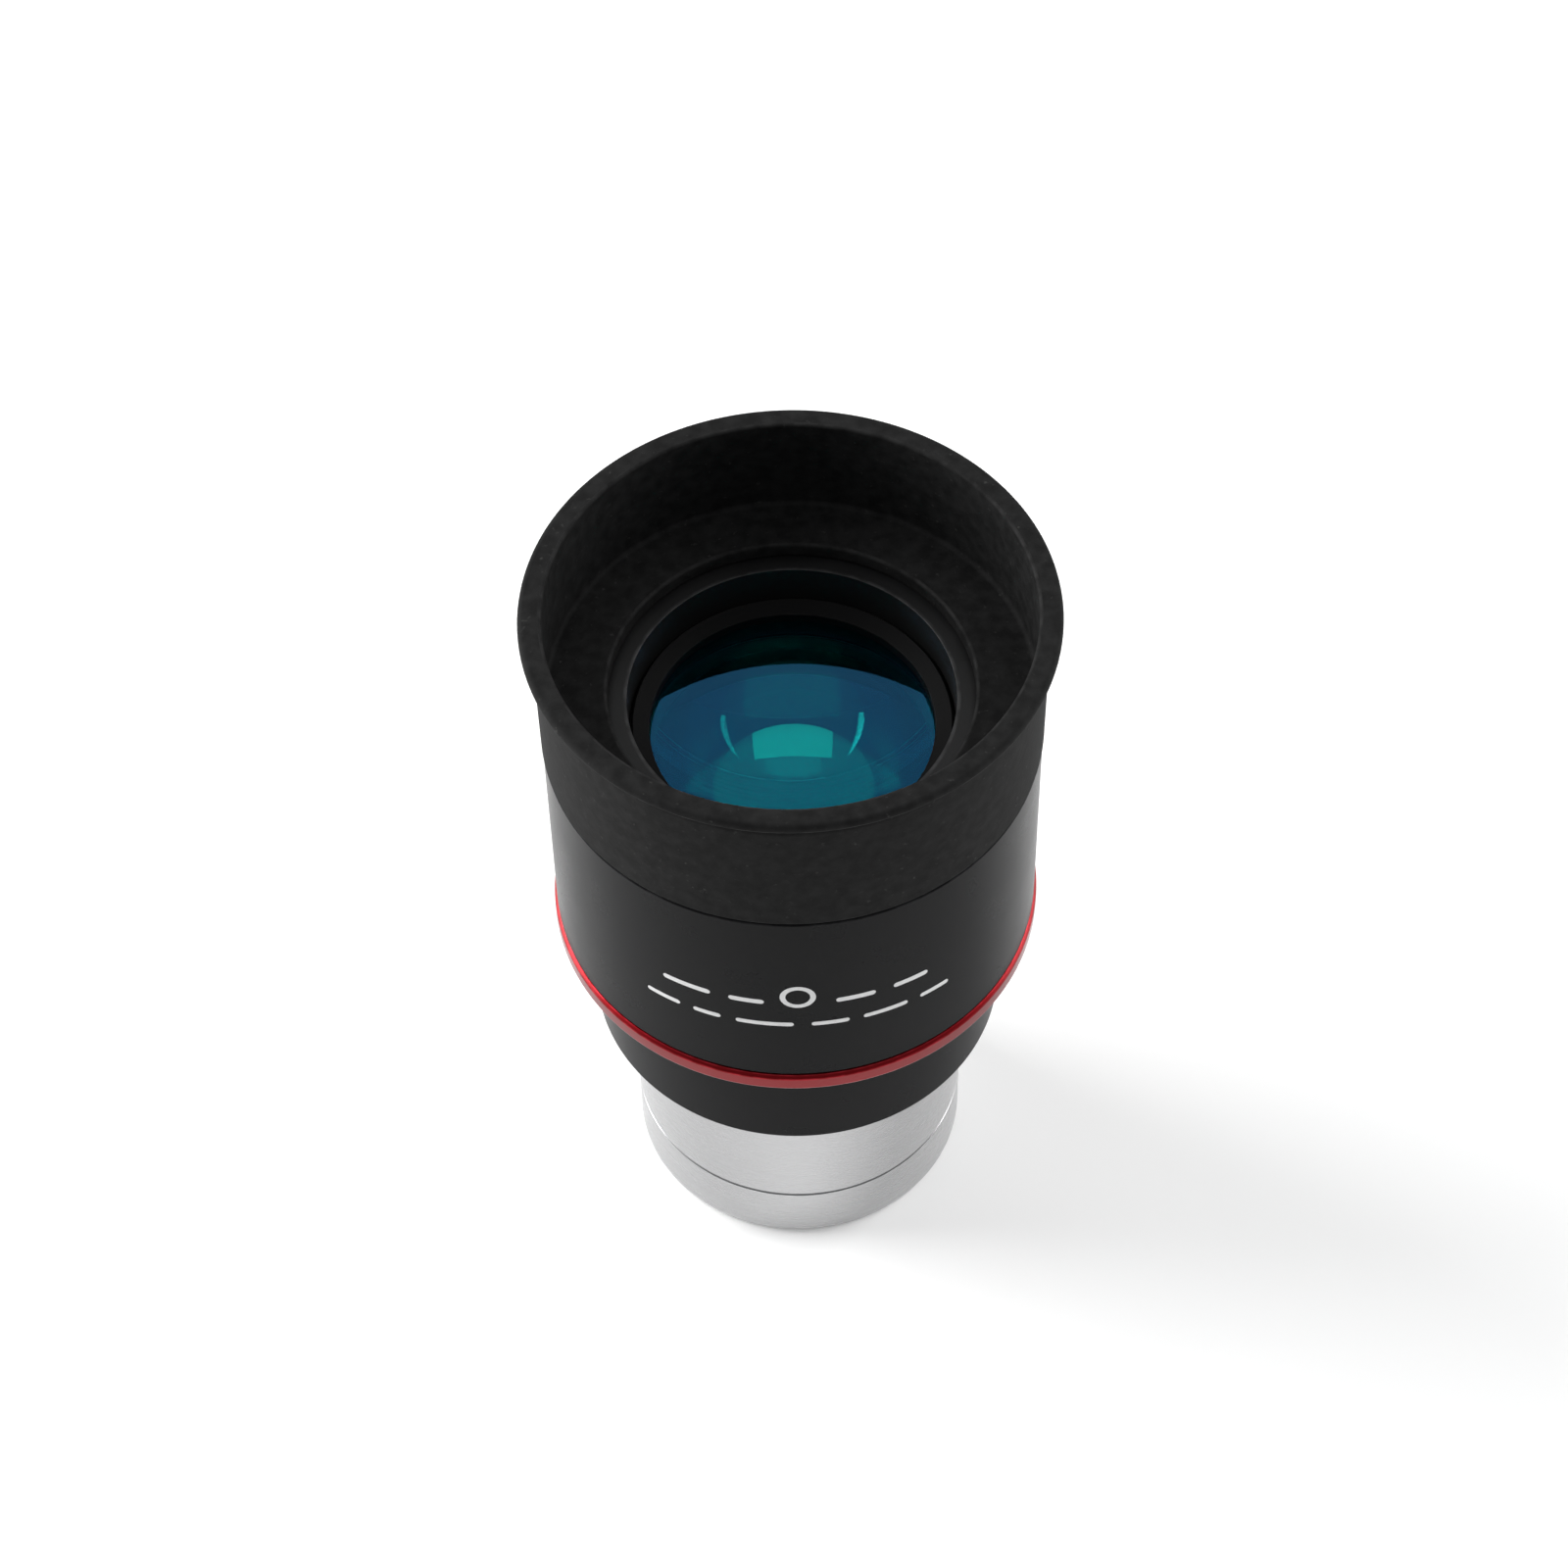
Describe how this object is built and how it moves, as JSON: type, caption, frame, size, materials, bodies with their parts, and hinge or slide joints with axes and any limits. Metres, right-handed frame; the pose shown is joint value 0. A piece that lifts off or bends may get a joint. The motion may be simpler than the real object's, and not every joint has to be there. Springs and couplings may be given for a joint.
{
  "type": "telescope eyepiece",
  "caption": "Telescope eyepiece with a bright barrel, black housing, red trim ring, coated lenses and a soft rubber eyecup.",
  "frame": {"origin": "on the optical axis at the open end of the barrel, the face the eyepiece stands on", "axes": "+Z along the optical axis towards the eye; -Y is the side with the marking on the housing"},
  "size_m": [0.0471, 0.047, 0.0765],
  "materials": {
    "barrel_metal": "fine-turned, bright satin",
    "black_metal": "matt black anodised",
    "black_anodised": "satin black anodised",
    "red_anodised": "satin red anodised",
    "eyecup_rubber": "matt moulded",
    "coated_glass": "polished, blue-green anti-reflection coating"
  },
  "bodies": {
    "barrel": {"barrel": "barrel_metal", "field_stop": "black_metal"},
    "optics": {"field_flint": "coated_glass", "field_crown": "coated_glass", "lens_spacer": "black_metal", "eye_crown": "coated_glass", "eye_flint": "coated_glass"},
    "housing": {"housing": "black_anodised", "lens_cell": "black_metal", "eye_retaining_ring": "black_metal", "trim_ring": "red_anodised", "collar": "black_anodised"},
    "eyecup": {"eyecup": "eyecup_rubber"}
  },
  "joints": [
    {"name": "thread_rise", "type": "slide", "parent": "barrel", "child": "optics", "axis": [0, 0, 1], "range_m": [0, 0.00605]},
    {"name": "thread_turn", "type": "hinge", "parent": "optics", "child": "housing", "pos_m": [0, 0, 0.0251], "axis": [0, 0, 1], "range_deg": [0, 2880]},
    {"name": "eyecup_pull_off", "type": "slide", "parent": "housing", "child": "eyecup", "axis": [0, 0, 1], "range_m": [0, 0.012]}
  ],
  "couplings": [
    {"joint": "thread_rise", "follows": "thread_turn", "m_per_rad": 0.00011937}
  ]
}
